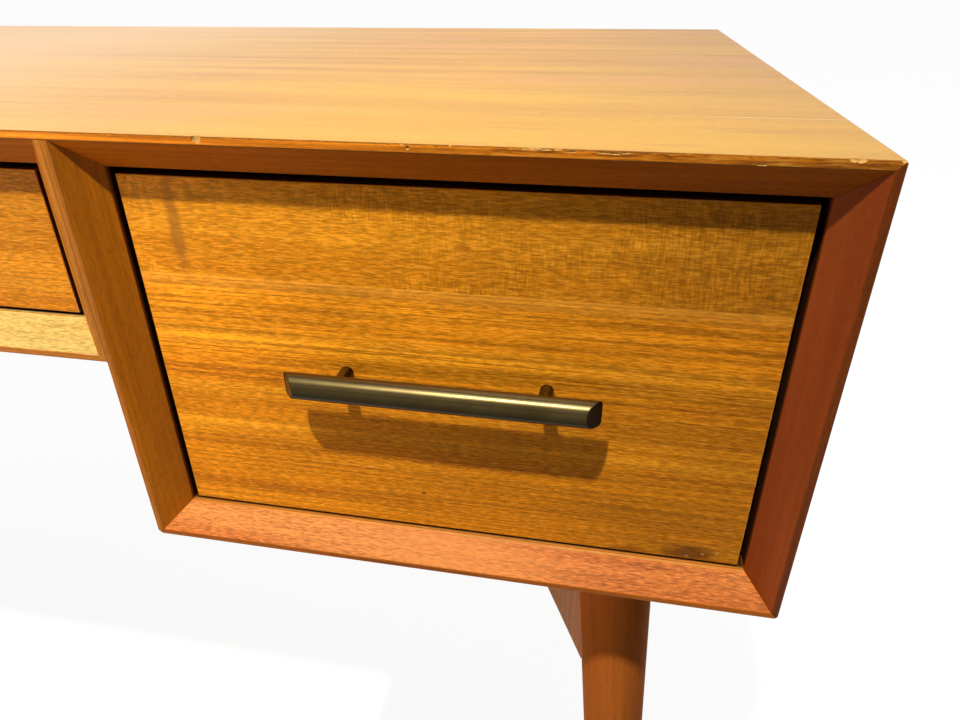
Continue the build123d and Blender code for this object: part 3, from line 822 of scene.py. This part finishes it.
def pedestal(hand_name, hand, top_cutter, seed):
    """Outer side, inner side, bottom and cheek of one end of the desk, drawn for the right end."""

    def mirrored(planes):
        return [tuple((hand * vector[0], *vector[1:]) for vector in plane) for plane in planes]

    def board(name, low, high, cuts, joints, timber, edges, cope=None, glued=()):
        left, right = sorted((hand * low[0], hand * high[0]))
        case_board(
            name,
            (left, *low[1:]),
            (right, *high[1:]),
            mirrored(cuts),
            mirrored(joints),
            (timber, edges),
            cope,
            mirrored(glued),
        )

    out_face, inn_face, cheek_face = X_SIDE - BOARD, X_INNER + BOARD, X_INNER - BOARD
    low_outer = (X_SIDE, 0, Z_PEDESTAL)
    low_inner = (X_INNER, 0, Z_PEDESTAL)
    outer_knock = ((X_SIDE - KNOCK_OUTER, 0, Z_PEDESTAL), (1, 0, -1))
    inner_knock = ((X_INNER + KNOCK_INNER, 0, Z_PEDESTAL), (-1, 0, -1))
    top_knock = ((X_SIDE - KNOCK_TOP, 0, HEIGHT), (1, 0, 1))
    divider_edges = rubbed_and_highlit(f"{hand_name}_divider_edges", "Z", DIVIDER_LINE_TONES, seed, -1.0)
    board(
        f"{hand_name}_side",
        (out_face, Y_FRONT, Z_PEDESTAL),
        (X_SIDE, Y_BACK, HEIGHT),
        [((out_face + BEVEL, Y_FRONT, 0), (-1, -1, 0)), outer_knock, top_knock],
        [((X_SIDE, 0, HEIGHT), (-1, 0, 1)), (low_outer, (-1, 0, -1))],
        wood(
            f"{hand_name}_side_timber", "Z", SIDE_TONES, seed,
            front=SIDE_EDGE_TONES, inside=("X", -hand), outside=("X", hand, SIDE_OUTER_TONES),
            streaks=0.5, pores=0.15, mottle=0.15,
        ),
        rubbed_and_highlit(f"{hand_name}_side_edges", "Z", SIDE_EDGE_TONES, seed, -0.6),
    )
    board(
        f"{hand_name}_bottom",
        (X_INNER, Y_FRONT, Z_PEDESTAL),
        (X_SIDE, Y_BACK, Z_PEDESTAL + BOARD),
        [((0, Y_FRONT, Z_PEDESTAL + FLAT_EDGE), (0, -1, 1)), outer_knock, inner_knock],
        [(low_outer, (1, 0, 1)), (low_inner, (-1, 0, 1))],
        wood(
            f"{hand_name}_bottom_timber", "X", BOTTOM_TONES, seed,
            front=BOTTOM_EDGE_TONES, lip=BOTTOM_LIP_Z, inside=("Z", 1), painted_sheen_at=hand * BOTTOM_SHEEN_X,
            pores=0.12, mottle=1.5,
        ),
        rubbed_and_highlit(f"{hand_name}_bottom_edges", "X", BOTTOM_EDGE_TONES, seed, -0.1),
    )
    board(
        f"{hand_name}_inner_side",
        (X_INNER, Y_FRONT, Z_PEDESTAL),
        (inn_face, Y_BACK, Z_BEVEL),
        [((inn_face - BEVEL, Y_FRONT, 0), (1, -1, 0)), inner_knock],
        [(low_inner, (1, 0, -1))],
        wood(
            f"{hand_name}_inner_side_timber", "Z", DIVIDER_TONES, seed,
            front=STRIP_TONES, inside=("X", hand), pores=0.5, mottle=0.3,
        ),
        divider_edges,
        top_cutter,
        (PARTING,),
    )
    board(
        f"centre_{hand_name}_cheek",
        (cheek_face, Y_FRONT, Z_CENTRE),
        (X_INNER, Y_BACK, Z_BEVEL),
        [((cheek_face + BEVEL, Y_FRONT, 0), (-1, -1, 0))],
        [((X_INNER, 0, Z_CENTRE), (-1, 0, -1))],
        wood(
            f"{hand_name}_cheek_timber", "Z", DIVIDER_TONES, seed + 1,
            front=STRIP_TONES, inside=("X", -hand), pores=0.5, mottle=0.3,
        ),
        divider_edges,
        top_cutter,
        (PARTING,),
    )


def case():
    """The top and both pedestals, with the shallow drawer's rail between them."""
    low, high = (-X_SIDE, Y_FRONT, Z_SOFFIT), (X_SIDE, Y_BACK, HEIGHT)
    cutter = block("top_cutter", low, high)
    for cut in (*TOP_MITRES, TOP_BEVEL):
        saw(cut)
    bpy.ops.object.mode_set(mode="OBJECT")
    broken = (raw_chip(), shaded_nick())
    top = case_board(
        "top",
        low,
        high,
        [TOP_BEVEL, *TOP_KNOCKS],
        TOP_MITRES,
        (top_board_finish(), rubbed_and_highlit("top_edges", "X", ARRIS_TONES, 4.0, -0.1)),
        round_width=TOP_ROUND,
    )
    chip_edge(top, TOP_BREAKS, broken, X_SIDE, HEIGHT, TOP_NICKS, 7)
    for seed, (hand_name, hand) in enumerate(HANDS.items()):
        pedestal(hand_name, hand, cutter, 10.0 + 9 * seed)
    rail = case_board(
        "centre_bottom",
        (-X_INNER, Y_FRONT, Z_CENTRE),
        (X_INNER, Y_BACK, Z_CENTRE + BOARD),
        [((0, Y_FRONT, Z_CENTRE + FLAT_EDGE), (0, -1, 1))],
        [((hand * X_INNER, 0, Z_CENTRE), (hand, 0, 1)) for hand in HANDS.values()],
        (
            wood(
                "centre_bottom_timber", "X", RAIL_TONES, 38.0,
                front=RAIL_EDGE_TONES, inside=("Z", 1), streaks=0.8, pores=0.5, mottle=1.1,
            ),
            rubbed_and_highlit("centre_bottom_edges", "X", RAIL_EDGE_TONES, 38.0, 0.1),
        ),
    )
    chip_edge(rail, RAIL_BREAKS, broken, X_INNER - BOARD, Z_CENTRE, RAIL_NICKS, 9)
    bpy.data.objects.remove(cutter)


# Drawers


def pull_bar(drawer, x_middle, z_middle, finish):
    """Half round bar with raked ends, every edge just broken, in place of the CAD one."""
    y_back = Y_DRAWER - PULL_STANDOFF
    y_ridge = y_back - PULL_DEPTH
    half_length, half_height = PULL_LENGTH / 2, PULL_HEIGHT / 2
    piece = block(
        f"{drawer}_pull_round",
        (x_middle - half_length, y_ridge, z_middle - half_height),
        (x_middle + half_length, y_back, z_middle + half_height),
    )
    for y_edge, radius, segments in ((y_ridge, PULL_FRONT_ROUND, 9), (y_back, PULL_BACK_ROUND, 4)):
        bpy.ops.mesh.select_mode(type="EDGE")
        bpy.ops.mesh.select_all(action="DESELECT")
        bpy.ops.object.mode_set(mode="OBJECT")
        for edge in piece.data.edges:
            first, second = (piece.data.vertices[index].co for index in edge.vertices)
            at_corner = abs(abs(first.z - z_middle) - half_height) < JOINT_EASE
            lengthwise = abs(first.x - second.x) > half_length
            edge.select = lengthwise and at_corner and abs(first.y - y_edge) < JOINT_EASE
        bpy.ops.object.mode_set(mode="EDIT")
        bpy.ops.mesh.bevel(offset=radius, segments=segments, affect="EDGES")
    bpy.ops.mesh.select_mode(type="VERT")
    for hand in HANDS.values():
        saw(((x_middle + hand * half_length, y_back, 0), (hand * PULL_DEPTH, -PULL_END_CUT, 0)))
    bpy.ops.object.mode_set(mode="OBJECT")
    piece.data.materials.append(finish)
    arris = piece.modifiers.new("arris", "BEVEL")
    arris.use_clamp_overlap = False
    arris.width = PULL_ARRIS
    arris.segments = 3
    arris.limit_method = "ANGLE"
    arris.angle_limit = radians(ARRIS_TURN)
    bpy.ops.object.modifier_apply(modifier="arris")
    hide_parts(f"{drawer}_pull_bar")
    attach(piece, f"{drawer}_drawer")
    even_shading(piece)


def drawer_front(drawer, left, right, floor, seams, seed, painted_light_ends, marks):
    """An inset front, veneered in leaves, its face edges rounded and pale, partly worn and partly a painted
    highlight, with its pull.
    """
    low = (left + REVEAL, Y_DRAWER, floor + REVEAL_LOW)
    high = (right - REVEAL, Y_DRAWER + FRONT_THICKNESS, Z_SOFFIT - REVEAL)
    piece = block(f"{drawer}_front_panel", low, high)
    bpy.ops.object.mode_set(mode="OBJECT")
    ends = (low[0], high[0])
    piece.data.materials.append(veneer(f"{drawer}_front_veneer", seams, seed, ends, painted_light_ends, marks))
    piece.data.materials.append(rubbed_and_highlit(f"{drawer}_front_rubbed", "X", FRONT_TONES, seed, 0.5))
    ease(piece, [((0, high[1], 0), (0, 1, 0))], FRONT_ROUND)
    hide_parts(f"{drawer}_drawer_front")
    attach(piece, f"{drawer}_drawer")
    even_shading(piece)
    pull_bar(drawer, (low[0] + high[0]) / 2, (low[2] + high[2]) / 2, bronze_finish)


def drawer_fronts():
    """The three fronts, each between the walls of its cell."""
    near, far = X_INNER + BOARD, X_SIDE - BOARD
    deep_floor = Z_PEDESTAL + BOARD
    drawer_front("right", near, far, deep_floor, DEEP_SEAMS, 60.0, (1.2, 0.70), RIGHT_MARKS)
    drawer_front("left", -far, -near, deep_floor, DEEP_SEAMS, 67.0, (1.0, 0.92), LEFT_MARKS)
    half = X_INNER - BOARD
    drawer_front("centre", -half, half, Z_CENTRE + BOARD, SHALLOW_SEAMS, 74.0, (0.9, 0.9), CENTRE_MARKS)


# Other pieces


def dress(name, material):
    """Give a CAD node one finish all over."""
    mesh = nodes[name].data
    mesh.materials.clear()
    mesh.materials.append(material)


def furnish():
    """Every other piece keeps its CAD shape and takes its finish."""
    for seed, (hand_name, hand) in enumerate(HANDS.items()):
        leg_timber = wood(
            f"{hand_name}_leg_timber", "Z", LEG_TONES, 26.0 + seed, 0.6, 0.02,
            turn=hand * LEG_LEAN, streaks=0.6, pores=0.25, mottle=0.2,
        )
        for end in ("front", "back"):
            dress(f"{end}_{hand_name}_leg", leg_timber)
        # The knee brackets are painted paler, as painted light
        knee_painted_light_timber = wood(
            f"{hand_name}_knee_painted_light_timber", "Z", KNEE_PAINTED_LIGHT_TONES, 30.0 + seed, 0.35, 0.3, pores=0.3
        )
        dress(f"{hand_name}_knee_brackets", knee_painted_light_timber)
        dress(f"{hand_name}_leg_rail", wood(f"{hand_name}_leg_rail_timber", "Y", LEG_TONES, 34.0 + seed))
    zinc_finish = zinc()
    box_lengthwise = wood("drawer_wall_timber", "Y", BOX_TONES, 42.0, 0.5)
    box_crosswise = wood("drawer_end_timber", "X", BOX_TONES, 46.0, 0.5)
    cell_finishes = {
        "drawer_left_wall": box_lengthwise,
        "drawer_right_wall": box_lengthwise,
        "drawer_box_front": box_crosswise,
        "drawer_box_back": box_crosswise,
        "drawer_floor": wood("drawer_floor_ply", "X", PLY_TONES, 50.0, 0.55),
        "back": wood("back_ply", "X", BACK_TONES, 54.0, 0.6),
        "pull_posts": bronze_finish,
        "pull_screws": zinc_finish,
        "case_rails": zinc_finish,
        "ball_cages": zinc_finish,
        "drawer_rails": zinc_finish,
    }
    for drawer in DRAWERS:
        for piece, finish in cell_finishes.items():
            dress(f"{drawer}_{piece}", finish)
    dress("leg_bolts", zinc_finish)
    dress("foot_glides", nylon())


# Stage


def pale_floor():
    """Floor that looks white and still takes the desk's shadow."""
    bpy.ops.mesh.primitive_plane_add(size=2 * FLOOR_HALF, location=(0, 0, 0))
    floor = bpy.context.object
    floor.name = "floor"
    material = bpy.data.materials.new("pale_floor")
    material.use_nodes = True
    material.node_tree.nodes.clear()
    wiring = Wiring(material.node_tree)
    seen = wiring.seen_by_camera()
    tone = wiring.span(seen, 0.0, 1.0, FLOOR_BOUNCE, FLOOR_SEEN, smooth=False)
    diffuse = wiring.add("ShaderNodeBsdfDiffuse", {"Color": tone}).outputs["BSDF"]
    glow = wiring.add("ShaderNodeEmission", {"Strength": FLOOR_GLOW}).outputs["Emission"]
    share = wiring.times(seen, 1 - SHADOW_SHARE)
    mix = wiring.add("ShaderNodeMixShader", {0: share, 1: diffuse, 2: glow})
    wiring.add("ShaderNodeOutputMaterial", {"Surface": mix.outputs["Shader"]})
    floor.data.materials.append(material)


def room():
    """White background. Its light on the desk is soft, stronger from high behind and from the left."""
    world = bpy.data.worlds.new("room")
    bpy.context.scene.world = world
    world.use_nodes = True
    wiring = Wiring(world.node_tree)
    place = wiring.add("ShaderNodeTexCoord").outputs["Generated"]
    towards = wiring.add("ShaderNodeVectorMath", {0: place, 1: ROOM_BRIGHT_SIDE}, operation="DOT_PRODUCT")
    behind = wiring.span(towards.outputs["Value"], 0.15, 0.95, ROOM_DIM, ROOM_BRIGHT, smooth=False)
    left = wiring.span(wiring.part(place, "X"), -1.0, 0.6, ROOM_LEFT, 0.0, smooth=False)
    soft = wiring.math("ADD", behind, left)
    strength = wiring.span(wiring.seen_by_camera(), 0.0, 1.0, soft, 1.0, smooth=False)
    background = world.node_tree.nodes["Background"]
    wiring.feed(background.inputs["Color"], (1, 1, 1, 1))
    wiring.feed(background.inputs["Strength"], strength)


def hang(light, place, colour):
    """Put a lamp in its place, out of the camera's sight."""
    light.color = colour
    holder = bpy.data.objects.new(light.name, light)
    bpy.context.collection.objects.link(holder)
    holder.location = place
    holder.visible_camera = False
    return holder


def lamps():
    """The ceiling lamp, which throws the shadows, and the soft light from the left."""
    ceiling = bpy.data.lights.new("ceiling_lamp", "POINT")
    ceiling.energy = LAMP_POWER
    ceiling.shadow_soft_size = LAMP_RADIUS
    hang(ceiling, LAMP_PLACE, LAMP_COLOUR)
    fill = bpy.data.lights.new("fill_light", "AREA")
    fill.energy = FILL_POWER
    fill.size = FILL_SIZE
    holder = hang(fill, FILL_PLACE, FILL_COLOUR)
    aim = Vector(FILL_AIM) - Vector(FILL_PLACE)
    holder.rotation_euler = aim.to_track_quat("-Z", "Y").to_euler()
    holder.visible_glossy = False


def camera():
    """The eye that took the photograph."""
    eye = bpy.data.cameras.new("photo_view")
    eye.sensor_width = CAMERA_SENSOR
    eye.lens = CAMERA_LENS
    eye.clip_start = 0.01
    eye.clip_end = 200
    holder = bpy.data.objects.new("photo_view", eye)
    bpy.context.collection.objects.link(holder)
    holder.location = CAMERA_PLACE
    holder.rotation_euler = [radians(turn) for turn in CAMERA_TURN]
    bpy.context.scene.camera = holder


bronze_finish = bronze()
case()
drawer_fronts()
furnish()
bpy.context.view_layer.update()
pale_floor()
room()
lamps()
camera()
bpy.context.scene.view_settings.view_transform = "Standard"
